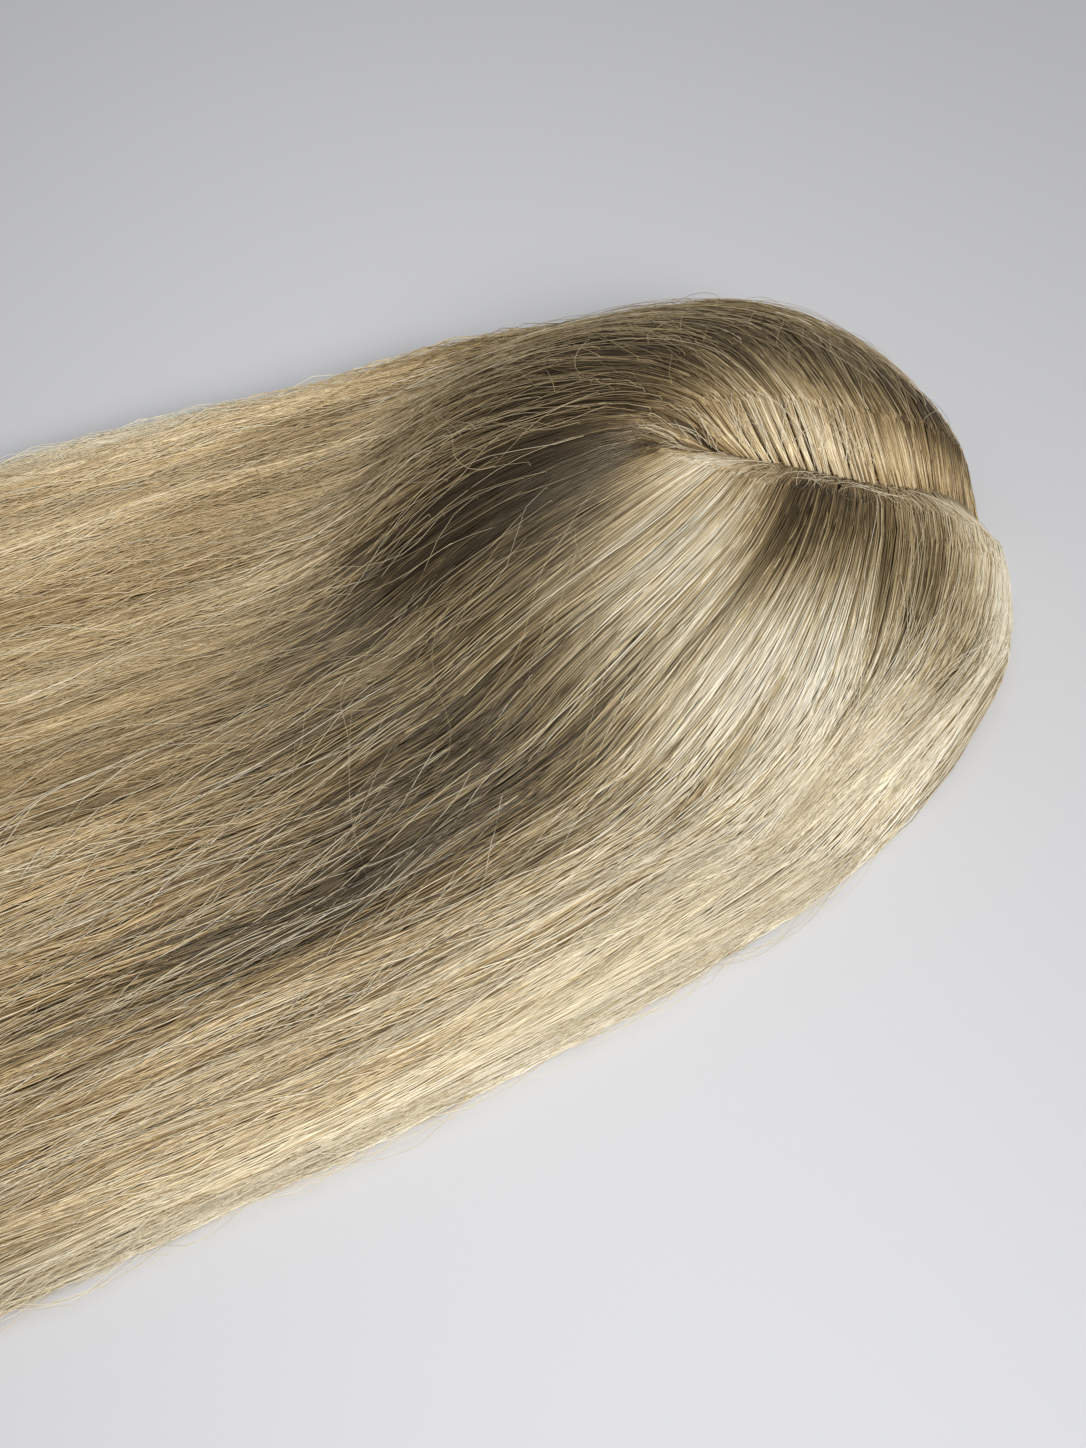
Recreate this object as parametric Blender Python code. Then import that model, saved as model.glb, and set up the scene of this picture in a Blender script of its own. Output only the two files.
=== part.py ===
"""Hair topper lying on a table: an open cap, long hair that falls from a parting, and four clips."""
import math
from collections import namedtuple

import bmesh
import bpy
import numpy as np

# Cap, a half egg that is open below
CAP_LENGTH = 0.138
CAP_WIDTH = 0.132
CAP_HEIGHT = 0.042
CAP_WALL = 0.0015
CAP_SEGMENTS = 44
CAP_RINGS = 8

# Hair that covers the cap, measured out from it
CROWN_COVER = 0.012
FRONT_COVER = 0.005
BACK_COVER = 0.043
RIGHT_COVER = 0.046
LEFT_COVER = 0.029
PART_COVER = 0.0022
PART_WIDTH = 0.0024
PART_ROUNDING = 0.011
CROWN_RADIUS = 0.003
CROWN_START = 0.75

# Lengths that lie on the table behind the cap
HAIR_LENGTH = 0.406
FAN_WIDTH = 0.260
FALL_THICKNESS = 0.021
TIP_THICKNESS = 0.0045
EDGE_THICKNESS = 0.0022
FALL_BLEND = 0.018
LOCK_DEPTH = 0.0026
LOCK_SETTLE = 1 / 3
TIP_NOTCH = 0.030
TIP_STAGGER = 0.014
TIP_TURN = 2.4
TIP_START = 0.80
LOCK_COLUMNS = 4
LOCK_ROWS = 26
ROW_SPREAD = 1.25

# Snap clips inside the cap
CLIP_LENGTH = 0.032
CLIP_DEPTH = 0.012
CLIP_THICKNESS = 0.0012
CLIP_RISE = 0.005
CLIP_FACETS = 9
CLIP_DRAW_IN = 0.8

# Running gaps between separate pieces
CAP_GAP = 0.0004
CLIP_GAP = 0.0004
FALL_GAP = 0.0005
TINY = 1e-9

DOME_FRONT = CAP_LENGTH / 2 + FRONT_COVER
DOME_BACK = CAP_LENGTH / 2 + BACK_COVER
DOME_RIGHT = CAP_WIDTH / 2 + RIGHT_COVER
DOME_LEFT = CAP_WIDTH / 2 + LEFT_COVER
DOME_HEIGHT = CAP_HEIGHT + CROWN_COVER

# The parting on the cap: place along it, x as a share of the dome's front, y of half the cap's width
PartStation = namedtuple("PartStation", "along x y")
PARTING = (
    PartStation(0.00, 0.97, -0.06),
    PartStation(0.25, 0.68, -0.19),
    PartStation(0.50, 0.41, -0.22),
    PartStation(0.75, 0.11, -0.14),
    PartStation(1.00, -0.15, 0.00),
)

# Guide hairs from the right side of the parting round the crown to its left side. Locks is the number
# of locks up to the next guide, root the place on the parting. Shoulder, side and landing are shares
# of the dome's half length and half width, drift of the hair's length and the fan's width, and end is
# how far across the fan the guide would be at the hair's full length.
Guide = namedtuple("Guide", "fall locks root shoulder side landing drift end")
GUIDES = (
    Guide("hair_right", 1, 0.00, (0.93, -0.29), (0.785, -0.555), (0.175, -0.965), (-0.22, -0.608), -1.02),
    Guide("hair_right", 1, 0.16, (0.80, -0.33), (0.47, -0.70), (-0.33, -1.11), (-0.29, -0.620), -0.97),
    Guide("hair_right", 2, 0.46, (0.33, -0.45), (-0.02, -0.85), (-0.63, -1.165), (-0.32, -0.590), -0.88),
    Guide("hair_right", 3, 0.64, (-0.02, -0.44), (-0.38, -0.78), (-0.85, -1.03), (-0.37, -0.525), -0.78),
    Guide("hair_right", 3, 0.78, (-0.17, -0.34), (-0.52, -0.57), (-0.95, -0.76), (-0.37, -0.400), -0.67),
    Guide("hair_back", 2, 0.90, (-0.31, -0.17), (-0.61, -0.28), (-0.95, -0.40), (-0.37, -0.246), -0.52),
    Guide("hair_back", 2, 1.00, (-0.42, -0.06), (-0.69, -0.12), (-0.95, -0.20), (-0.37, -0.146), -0.38),
    Guide("hair_back", 2, 1.00, (-0.33, 0.07), (-0.59, 0.09), (-0.86, 0.05), (-0.357, -0.038), -0.25),
    Guide("hair_left", 2, 0.90, (-0.17, 0.12), (-0.36, 0.25), (-0.76, 0.34), (-0.342, 0.077), -0.16),
    Guide("hair_left", 2, 0.80, (-0.04, 0.14), (-0.17, 0.39), (-0.57, 0.64), (-0.296, 0.190), -0.06),
    Guide("hair_left", 1, 0.62, (0.21, 0.09), (0.05, 0.46), (-0.38, 0.78), (-0.271, 0.250), 0.02),
    Guide("hair_left", 1, 0.40, (0.47, 0.13), (0.38, 0.52), (-0.19, 0.89), (-0.246, 0.290), 0.06),
    Guide("hair_left", 1, 0.16, (0.81, 0.16), (0.73, 0.44), (0.07, 0.92), (-0.222, 0.308), 0.08),
    Guide("hair_left", 0, 0.00, (0.95, 0.22), (0.84, 0.52), (0.22, 0.97), (-0.200, 0.332), 0.10),
)
END_REACH = 1.03
FLOW_STATIONS = 60
FINE_STEPS = 8

# Valleys in the lying hair: across in guides, along as a share of the hair's length, depth of the fall's
Valley = namedtuple("Valley", "across width start full depth")
VALLEYS = (
    Valley(3.66, 0.42, 0.26, 0.42, 0.34),
    Valley(7.00, 1.30, 0.22, 0.34, 0.22),
    Valley(9.60, 0.50, 0.34, 0.52, 0.18),
)

# Clips by the way that they face from the cap's middle, in degrees from its front
CLIPS = (("clip_front", 0), ("clip_left", 90), ("clip_back", 180), ("clip_right", 270))


def curve_through(knots, values, at):
    """Smooth curve through values at knots, read at the given places."""
    knots = np.asarray(knots, float)
    values = np.asarray(values, float)
    at = np.atleast_1d(at)
    spread = (-1,) + (1,) * (values.ndim - 1)
    slopes = np.empty_like(values)
    slopes[1:-1] = (values[2:] - values[:-2]) / (knots[2:] - knots[:-2]).reshape(spread)
    slopes[0] = (values[1] - values[0]) / (knots[1] - knots[0])
    slopes[-1] = (values[-1] - values[-2]) / (knots[-1] - knots[-2])
    left = np.clip(np.searchsorted(knots, at, side="right") - 1, 0, len(knots) - 2)
    step = (knots[left + 1] - knots[left]).reshape(spread)
    t = ((at - knots[left]).reshape(spread)) / step
    start = (2 * t**3 - 3 * t**2 + 1) * values[left] + (t**3 - 2 * t**2 + t) * step * slopes[left]
    finish = (3 * t**2 - 2 * t**3) * values[left + 1] + (t**3 - t**2) * step * slopes[left + 1]
    return start + finish


def half_length(x):
    return np.where(np.asarray(x) > 0, DOME_FRONT, DOME_BACK)


def half_width(y):
    return np.where(np.asarray(y) < 0, DOME_RIGHT, DOME_LEFT)


def ease(share):
    """Smooth step from 0 to 1."""
    share = np.clip(share, 0, 1)
    return share * share * (3 - 2 * share)


def part_point(along):
    """Point of the parting in plan."""
    table = np.array(PARTING)
    return curve_through(table[:, 0], table[:, 1:], along)[0] * (DOME_FRONT, CAP_WIDTH / 2)


def guide_points(guide):
    """The points in plan that one guide hair passes, from its root to past its tip."""
    shares = (guide.shoulder, guide.side, guide.landing)
    on_dome = [(x * half_length(x), y * half_width(y)) for x, y in shares]
    middle = part_point(guide.root)
    outward = np.array(on_dome[0]) - middle
    turned = ease((guide.root - CROWN_START) / (1 - CROWN_START))
    margin = PART_WIDTH / 2 + (CROWN_RADIUS - PART_WIDTH / 2) * turned
    root = middle + outward / np.linalg.norm(outward) * margin
    drift = (guide.drift[0] * HAIR_LENGTH, guide.drift[1] * FAN_WIDTH)
    end = (-END_REACH * HAIR_LENGTH, guide.end * FAN_WIDTH)
    return np.array([root, *on_dome, drift, end], float)


def even_curve(points):
    """Points evenly spaced along the smooth curve through the given ones, and its length."""
    chords = np.concatenate([[0], np.cumsum(np.linalg.norm(np.diff(points, axis=0), axis=1))])
    fine = curve_through(chords, points, np.linspace(0, chords[-1], FINE_STEPS * FLOW_STATIONS))
    run = np.concatenate([[0], np.cumsum(np.linalg.norm(np.diff(fine, axis=0), axis=1))])
    at = np.linspace(0, run[-1], FLOW_STATIONS)
    return np.stack([np.interp(at, run, fine[:, axis]) for axis in (0, 1)], axis=1), run[-1]


class Flow:
    """Plan of the combed hair: a place across, counted in guides, and a run along from the root."""

    def __init__(self):
        curves = [even_curve(guide_points(guide)) for guide in GUIDES]
        self.knots = np.arange(len(GUIDES))
        self.paths = np.stack([points for points, length in curves])
        self.lengths = np.array([length for points, length in curves])

    def plan(self, across, run):
        """Points in plan at one place across and several runs."""
        path = curve_through(self.knots, self.paths, across)[0]
        length = curve_through(self.knots, self.lengths, across)[0]
        at = np.linspace(0, length, FLOW_STATIONS)
        return np.stack([np.interp(run, at, path[:, axis]) for axis in (0, 1)], axis=1)


def egg_height(x, y, front, back, right, left, height):
    """Height of a half egg over a point in plan, and 0 outside it."""
    along = x / np.where(x > 0, front, back)
    across = y / np.where(y < 0, right, left)
    return height * np.sqrt(np.clip(1 - along**2 - across**2, 0, 1))


def smooth_max(first, second):
    """Larger of two heights, rounded where they meet."""
    reach = np.minimum(FALL_BLEND, first + second) + TINY
    share = np.clip(0.5 + 0.5 * (first - second) / reach, 0, 1)
    return second + (first - second) * share + reach * share * (1 - share)


def lying_height(across, run, x):
    """Thickness of the hair that lies on the table."""
    edge = abs(2 * across / (len(GUIDES) - 1) - 1)
    behind = np.clip((-x - DOME_BACK / 2) / (HAIR_LENGTH - DOME_BACK / 2), 0, 1)
    body = FALL_THICKNESS + (TIP_THICKNESS - FALL_THICKNESS) * behind
    for valley in VALLEYS:
        beside = math.exp(-((across - valley.across) / valley.width) ** 2)
        begun = ease((run / HAIR_LENGTH - valley.start) / (valley.full - valley.start))
        body = body * (1 - valley.depth * beside * begun)
    settled = ease((DOME_FRONT - x) / (DOME_FRONT + DOME_BACK / 2))
    return EDGE_THICKNESS + (body - EDGE_THICKNESS) * math.sqrt(1 - edge**4) * settled


def hair_height(across, run, x, y, groove):
    """Top of the hair: dome and lying lengths in one, pressed down along the parting and between locks."""
    dome = egg_height(x, y, DOME_FRONT, DOME_BACK, DOME_RIGHT, DOME_LEFT, DOME_HEIGHT)
    cap = egg_height(x, y, CAP_LENGTH / 2, CAP_LENGTH / 2, CAP_WIDTH / 2, CAP_WIDTH / 2, CAP_HEIGHT)
    full = smooth_max(dome, lying_height(across, run, x))
    lift = 1 - np.exp(-((run / PART_ROUNDING) ** 2))
    thin = np.minimum(cap + PART_COVER, full)
    z = thin + (full - thin) * lift
    settled = ease(run / (LOCK_SETTLE * HAIR_LENGTH))
    z = z - LOCK_DEPTH * groove * settled * np.minimum(1, (z - cap) / FALL_THICKNESS)
    return np.maximum(z, EDGE_THICKNESS / 2)


def lock_columns(first, last):
    """The columns of a fall: place across, fullness of the lock there, and the lock's number."""
    columns = []
    for index in range(first, last):
        steps = GUIDES[index].locks * LOCK_COLUMNS
        for step in range(steps):
            fullness = abs(math.sin(math.pi * step / LOCK_COLUMNS))
            columns.append((index + step / steps, fullness, 10 * index + step // LOCK_COLUMNS))
    columns.append((last, 0.0, 0))
    return columns


def column_points(flow, across, fullness, number):
    """One column of the top surface, from the root to the tip of its lock."""
    run = np.linspace(0, END_REACH * HAIR_LENGTH, FINE_STEPS * LOCK_ROWS)
    plan = flow.plan(across, run)
    z = hair_height(across, run, plan[:, 0], plan[:, 1], 1 - fullness)
    points = np.column_stack([plan, z])
    travelled = np.concatenate([[0], np.cumsum(np.linalg.norm(np.diff(points, axis=0), axis=1))])
    stagger = TIP_STAGGER * (0.5 + 0.5 * math.sin(TIP_TURN * number))
    reach = HAIR_LENGTH - TIP_NOTCH + (TIP_NOTCH - stagger) * fullness
    share = np.linspace(0, 1, LOCK_ROWS) ** ROW_SPREAD
    rows = np.stack([np.interp(reach * share, travelled, points[:, axis]) for axis in range(3)], axis=1)
    rows[:, 2] += (EDGE_THICKNESS / 2 - rows[:, 2]) * ease((share - TIP_START) / (1 - TIP_START))
    return rows


def moved_aside(points, side):
    """A column moved half the gap between falls to its left or right."""
    heading = np.gradient(points[:, :2], axis=0)
    heading /= np.linalg.norm(heading, axis=1)[:, None]
    moved = points.copy()
    moved[:, 0] -= side * FALL_GAP / 2 * heading[:, 1]
    moved[:, 1] += side * FALL_GAP / 2 * heading[:, 0]
    return moved


def new_object(name, mesh, material, parent):
    item = bpy.data.objects.new(name, mesh)
    bpy.context.collection.objects.link(item)
    item.parent = parent
    if material:
        mesh.materials.append(material)
    return item


def mesh_from(name, make):
    """A triangulated mesh that a function fills, with its faces turned outward."""
    work = bmesh.new()
    make(work)
    bmesh.ops.triangulate(work, faces=work.faces[:])
    bmesh.ops.recalc_face_normals(work, faces=work.faces[:])
    mesh = bpy.data.meshes.new(name)
    work.to_mesh(mesh)
    work.free()
    return mesh


def fill_grid(work, rows):
    """Faces between rows of corners; returns the grid of corners."""
    grid = [[work.verts.new(point) for point in row] for row in rows]
    for low, high in zip(grid, grid[1:]):
        for k in range(len(low) - 1):
            work.faces.new((low[k], low[k + 1], high[k + 1], high[k]))
    return grid


def fall_mesh(name, flow, first, last):
    """One fall of hair as a solid: locks on top, flat where it lies."""
    columns = [column_points(flow, *column) for column in lock_columns(first, last)]
    columns[0] = moved_aside(columns[0], -1)
    columns[-1] = moved_aside(columns[-1], 1)

    def make(work):
        grid = fill_grid(work, columns)
        tips = [column[-1] for column in grid[1:-1]]
        roots = [column[0] for column in grid[1:-1]]
        edge = grid[0] + tips + grid[-1][::-1] + roots[::-1]
        foot = [work.verts.new((corner.co.x, corner.co.y, 0)) for corner in edge]
        for k in range(len(edge)):
            after = (k + 1) % len(edge)
            work.faces.new((edge[k], edge[after], foot[after], foot[k]))
        work.faces.new(foot)

    return mesh_from(name, make)


def egg_ring(length, width, height, share, drop=0.0):
    """One ring of a half egg, share 0 at its rim and 1 at its top."""
    tilt = share * math.pi / 2
    turns = [2 * math.pi * k / CAP_SEGMENTS for k in range(CAP_SEGMENTS)]
    radius = math.cos(tilt)
    z = height * math.sin(tilt) - drop
    return [(length / 2 * radius * math.cos(a), width / 2 * radius * math.sin(a), z) for a in turns]


def close_rings(work, rings):
    """Faces round each pair of rings of corners."""
    for low, high in zip(rings, rings[1:]):
        for k in range(len(low)):
            after = (k + 1) % len(low)
            work.faces.new((low[k], low[after], high[after], high[k]))


def egg_rings(work, length, width, height):
    """Corners of a half egg's rings, from its rim to just below its top."""
    shares = [ring / CAP_RINGS for ring in range(CAP_RINGS)]
    return [[work.verts.new(point) for point in egg_ring(length, width, height, share)] for share in shares]


def cap_mesh():
    """The cap's wall, with a flat rim."""
    def make(work):
        outer = egg_rings(work, CAP_LENGTH, CAP_WIDTH, CAP_HEIGHT)
        inner = egg_rings(work, CAP_LENGTH - 2 * CAP_WALL, CAP_WIDTH - 2 * CAP_WALL, CAP_HEIGHT - CAP_WALL)
        close_rings(work, outer)
        close_rings(work, inner)
        close_rings(work, [outer[0], inner[0]])
        for ring, height in ((outer[-1], CAP_HEIGHT), (inner[-1], CAP_HEIGHT - CAP_WALL)):
            top = work.verts.new((0, 0, height))
            for k in range(CAP_SEGMENTS):
                work.faces.new((ring[k], ring[(k + 1) % CAP_SEGMENTS], top))

    return mesh_from("cap_base", make)


def cutter_mesh():
    """The room that the hair leaves for the cap."""
    length = CAP_LENGTH + 2 * CAP_GAP
    width = CAP_WIDTH + 2 * CAP_GAP
    height = CAP_HEIGHT + CAP_GAP

    def make(work):
        below = [work.verts.new(point) for point in egg_ring(length, width, height, 0, CAP_HEIGHT)]
        rings = [below] + egg_rings(work, length, width, height)
        close_rings(work, rings)
        top = work.verts.new((0, 0, height))
        for k in range(CAP_SEGMENTS):
            work.faces.new((rings[-1][k], rings[-1][(k + 1) % CAP_SEGMENTS], top))
        work.faces.new(below)

    return mesh_from("cap_room", make)


def clip_mesh(name, heading):
    """A bowed plate with drawn-in ends that follows the flats inside the cap."""
    flat = math.cos(math.pi / CAP_SEGMENTS) * math.cos(math.pi / 4 / CAP_RINGS)
    inner_length = (CAP_LENGTH / 2 - CAP_WALL) * flat
    inner_width = (CAP_WIDTH / 2 - CAP_WALL) * flat
    inner_height = (CAP_HEIGHT - CAP_WALL) * flat
    half_angle = CLIP_LENGTH / (inner_length + inner_width)

    def point(turn, z, inward):
        shrink = math.sqrt(1 - (z / inner_height) ** 2)
        x = (inner_length - inward) * shrink * math.cos(turn)
        y = (inner_width - inward) * shrink * math.sin(turn)
        return x, y, z

    def make(work):
        sections = []
        for k in range(CLIP_FACETS + 1):
            share = 2 * k / CLIP_FACETS - 1
            turn = math.radians(heading) + half_angle * share
            half_depth = CLIP_DEPTH / 2 * math.sqrt(1 - CLIP_DRAW_IN * share**6)
            low = CLIP_RISE + CLIP_DEPTH / 2 - half_depth
            high = CLIP_RISE + CLIP_DEPTH / 2 + half_depth
            near = CLIP_GAP
            far = CLIP_GAP + CLIP_THICKNESS
            corners = ((low, near), (high, near), (high, far), (low, far))
            sections.append([work.verts.new(point(turn, z, inward)) for z, inward in corners])
        close_rings(work, sections)
        work.faces.new(sections[0])
        work.faces.new(sections[-1])

    return mesh_from(name, make)


def material(name, colour, roughness, metallic=0.0):
    made = bpy.data.materials.new(name)
    made.use_nodes = True
    shader = made.node_tree.nodes["Principled BSDF"]
    shader.inputs["Base Color"].default_value = (*colour, 1)
    shader.inputs["Roughness"].default_value = roughness
    shader.inputs["Metallic"].default_value = metallic
    made.diffuse_color = (*colour, 1)
    return made


def cut_room(item, cutter):
    cut = item.modifiers.new("cap room", "BOOLEAN")
    cut.operation = "DIFFERENCE"
    cut.solver = "EXACT"
    cut.object = cutter


def plan_centre(items):
    """Middle of the box round the given objects, in plan."""
    corners = np.array([tuple(vertex.co) for item in items for vertex in item.data.vertices])
    return (corners.min(axis=0) + corners.max(axis=0)) / 2


def build():
    for item in list(bpy.data.objects):
        bpy.data.objects.remove(item)
    topper = bpy.data.objects.new("topper", None)
    bpy.context.collection.objects.link(topper)
    cutter = new_object("cap_room", cutter_mesh(), None, topper)
    cutter.hide_render = True
    cutter.display_type = "WIRE"

    tones = {
        "hair_right": (0.62, 0.50, 0.32),
        "hair_back": (0.50, 0.39, 0.24),
        "hair_left": (0.56, 0.45, 0.27),
    }
    flow = Flow()
    names = [guide.fall for guide in GUIDES]
    falls = []
    for name, tone in tones.items():
        first = names.index(name)
        last = min(first + names.count(name), len(GUIDES) - 1)
        fall = new_object(name, fall_mesh(name, flow, first, last), material(name, tone, 0.45), topper)
        cut_room(fall, cutter)
        falls.append(fall)

    cap = new_object("cap_base", cap_mesh(), material("cap_base", (0.80, 0.68, 0.55), 0.8), topper)
    cap.data.shade_smooth()
    cap.data.set_sharp_from_angle(angle=math.radians(40))
    for name, heading in CLIPS:
        steel = material(name, (0.30, 0.22, 0.15), 0.35, 0.8)
        new_object(name, clip_mesh(name, heading), steel, topper)

    middle = plan_centre(falls)
    topper.location = (-middle[0], -middle[1], 0)


build()
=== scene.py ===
import math
from collections import namedtuple

import bpy
import numpy as np
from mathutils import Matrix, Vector


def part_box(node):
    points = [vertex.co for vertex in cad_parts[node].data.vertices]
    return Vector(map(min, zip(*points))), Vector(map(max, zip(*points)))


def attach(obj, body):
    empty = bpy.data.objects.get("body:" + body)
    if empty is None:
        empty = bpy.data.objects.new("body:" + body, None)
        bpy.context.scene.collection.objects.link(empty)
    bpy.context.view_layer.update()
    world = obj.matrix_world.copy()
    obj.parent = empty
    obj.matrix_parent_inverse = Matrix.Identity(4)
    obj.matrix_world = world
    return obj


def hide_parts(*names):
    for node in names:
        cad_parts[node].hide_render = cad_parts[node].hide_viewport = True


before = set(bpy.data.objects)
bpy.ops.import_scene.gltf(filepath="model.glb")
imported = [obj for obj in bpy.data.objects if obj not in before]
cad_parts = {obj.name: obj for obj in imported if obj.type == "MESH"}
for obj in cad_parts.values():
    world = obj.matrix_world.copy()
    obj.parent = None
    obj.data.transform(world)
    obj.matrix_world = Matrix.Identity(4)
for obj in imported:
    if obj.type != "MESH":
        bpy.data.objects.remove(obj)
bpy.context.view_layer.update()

# A hair topper laid on a table: strands of hair over three packed beds, on one flow of guide hairs that
# leaves the parting, passes over the dome and lies out behind it. The cap and its clips stay as they are.
cap_low, cap_high = (np.array(corner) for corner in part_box("cap_base"))
cap_middle = np.append((cap_low + cap_high)[:2] / 2, 0)
chance = np.random.default_rng(11)
TINY = 1e-12

# The form of the combed hair, in metres from the cap's middle on the table
CAP_LENGTH = cap_high[0] - cap_low[0]
CAP_WIDTH = cap_high[1] - cap_low[1]
CAP_HEIGHT = cap_high[2] - cap_low[2]
CAP_GAP = 0.0004
CROWN_COVER = 0.012
FRONT_COVER = 0.005
BACK_COVER = 0.043
RIGHT_COVER = 0.046
LEFT_COVER = 0.029
PART_COVER = 0.0022
PART_WIDTH = 0.0024
PART_ROUNDING = 0.011
CROWN_RADIUS = 0.003
CROWN_START = 0.75
HAIR_LENGTH = 0.406
FAN_WIDTH = 0.260
FALL_THICKNESS = 0.021
TIP_THICKNESS = 0.0045
EDGE_THICKNESS = 0.0022
FALL_BLEND = 0.018
LOCK_DEPTH = 0.0026
LOCK_SETTLE = 1 / 3
DOME_FRONT = CAP_LENGTH / 2 + FRONT_COVER
DOME_BACK = CAP_LENGTH / 2 + BACK_COVER
DOME_RIGHT = CAP_WIDTH / 2 + RIGHT_COVER
DOME_LEFT = CAP_WIDTH / 2 + LEFT_COVER
DOME_HEIGHT = CAP_HEIGHT + CROWN_COVER

PartStation = namedtuple("PartStation", "along x y")
PARTING = (
    PartStation(0.00, 0.97, -0.06),
    PartStation(0.25, 0.68, -0.19),
    PartStation(0.50, 0.41, -0.22),
    PartStation(0.75, 0.11, -0.14),
    PartStation(1.00, -0.15, 0.00),
)

Guide = namedtuple("Guide", "fall locks root shoulder side landing drift end")
GUIDES = (
    Guide("hair_right", 1, 0.00, (0.93, -0.29), (0.785, -0.555), (0.175, -0.965), (-0.22, -0.608), -1.02),
    Guide("hair_right", 1, 0.16, (0.80, -0.33), (0.47, -0.70), (-0.33, -1.11), (-0.29, -0.620), -0.97),
    Guide("hair_right", 2, 0.46, (0.33, -0.45), (-0.02, -0.85), (-0.63, -1.165), (-0.32, -0.590), -0.88),
    Guide("hair_right", 3, 0.64, (-0.02, -0.44), (-0.38, -0.78), (-0.85, -1.03), (-0.37, -0.525), -0.78),
    Guide("hair_right", 3, 0.78, (-0.17, -0.34), (-0.52, -0.57), (-0.95, -0.76), (-0.37, -0.400), -0.67),
    Guide("hair_back", 2, 0.90, (-0.31, -0.17), (-0.61, -0.28), (-0.95, -0.40), (-0.37, -0.246), -0.52),
    Guide("hair_back", 2, 1.00, (-0.42, -0.06), (-0.69, -0.12), (-0.95, -0.20), (-0.37, -0.146), -0.38),
    Guide("hair_back", 2, 1.00, (-0.33, 0.07), (-0.59, 0.09), (-0.86, 0.05), (-0.357, -0.038), -0.25),
    Guide("hair_left", 2, 0.90, (-0.17, 0.12), (-0.36, 0.25), (-0.76, 0.34), (-0.342, 0.077), -0.16),
    Guide("hair_left", 2, 0.80, (-0.04, 0.14), (-0.17, 0.39), (-0.57, 0.64), (-0.296, 0.190), -0.06),
    Guide("hair_left", 1, 0.62, (0.21, 0.09), (0.05, 0.46), (-0.38, 0.78), (-0.271, 0.250), 0.02),
    Guide("hair_left", 1, 0.40, (0.47, 0.13), (0.38, 0.52), (-0.19, 0.89), (-0.246, 0.290), 0.06),
    Guide("hair_left", 1, 0.16, (0.81, 0.16), (0.73, 0.44), (0.07, 0.92), (-0.222, 0.308), 0.08),
    Guide("hair_left", 0, 0.00, (0.95, 0.22), (0.84, 0.52), (0.22, 0.97), (-0.200, 0.332), 0.10),
)
END_REACH = 1.03
LAST_GUIDE = len(GUIDES) - 1

Valley = namedtuple("Valley", "across width start full depth")
VALLEYS = (
    Valley(3.66, 0.42, 0.26, 0.42, 0.34),
    Valley(7.00, 1.30, 0.22, 0.34, 0.22),
    Valley(9.60, 0.50, 0.34, 0.52, 0.18),
)

# How finely the flow is tabled before strands are read from it
TABLE_ACROSS = 24
TABLE_ALONG = 160
PATH_STEPS = 480


def curve_through(knots, values, at):
    """Smooth curve through values at knots, read at the given places."""
    knots = np.asarray(knots, float)
    values = np.asarray(values, float)
    at = np.atleast_1d(at)
    spread = (-1,) + (1,) * (values.ndim - 1)
    slopes = np.empty_like(values)
    slopes[1:-1] = (values[2:] - values[:-2]) / (knots[2:] - knots[:-2]).reshape(spread)
    slopes[0] = (values[1] - values[0]) / (knots[1] - knots[0])
    slopes[-1] = (values[-1] - values[-2]) / (knots[-1] - knots[-2])
    left = np.clip(np.searchsorted(knots, at, side="right") - 1, 0, len(knots) - 2)
    step = (knots[left + 1] - knots[left]).reshape(spread)
    t = ((at - knots[left]).reshape(spread)) / step
    start = (2 * t**3 - 3 * t**2 + 1) * values[left] + (t**3 - 2 * t**2 + t) * step * slopes[left]
    finish = (3 * t**2 - 2 * t**3) * values[left + 1] + (t**3 - t**2) * step * slopes[left + 1]
    return start + finish


def ease(share):
    """Smooth step from 0 to 1."""
    share = np.clip(share, 0, 1)
    return share * share * (3 - 2 * share)


def part_point(along):
    """Point in plan on the parting, from 0 at its front end to 1 at the crown."""
    table = np.array(PARTING)
    return curve_through(table[:, 0], table[:, 1:], along)[0] * (DOME_FRONT, CAP_WIDTH / 2)


def guide_points(guide):
    """The points in plan that one guide hair passes, from its root to past its tip."""
    shares = (guide.shoulder, guide.side, guide.landing)
    on_dome = [(x * (DOME_FRONT if x > 0 else DOME_BACK), y * (DOME_LEFT if y > 0 else DOME_RIGHT))
               for x, y in shares]
    middle = part_point(guide.root)
    outward = np.array(on_dome[0]) - middle
    turned = ease((guide.root - CROWN_START) / (1 - CROWN_START))
    margin = PART_WIDTH / 2 + (CROWN_RADIUS - PART_WIDTH / 2) * turned
    root = middle + outward / np.linalg.norm(outward) * margin
    drift = (guide.drift[0] * HAIR_LENGTH, guide.drift[1] * FAN_WIDTH)
    end = (-END_REACH * HAIR_LENGTH, guide.end * FAN_WIDTH)
    return np.array([root, *on_dome, drift, end], float)


def even_curve(points):
    """Points evenly spaced along the smooth curve through the given ones, and its length."""
    chords = np.concatenate([[0], np.cumsum(np.linalg.norm(np.diff(points, axis=0), axis=1))])
    fine = curve_through(chords, points, np.linspace(0, chords[-1], PATH_STEPS))
    run = np.concatenate([[0], np.cumsum(np.linalg.norm(np.diff(fine, axis=0), axis=1))])
    at = np.linspace(0, run[-1], TABLE_ALONG)
    return np.stack([np.interp(at, run, fine[:, axis]) for axis in (0, 1)], axis=1), run[-1]


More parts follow.
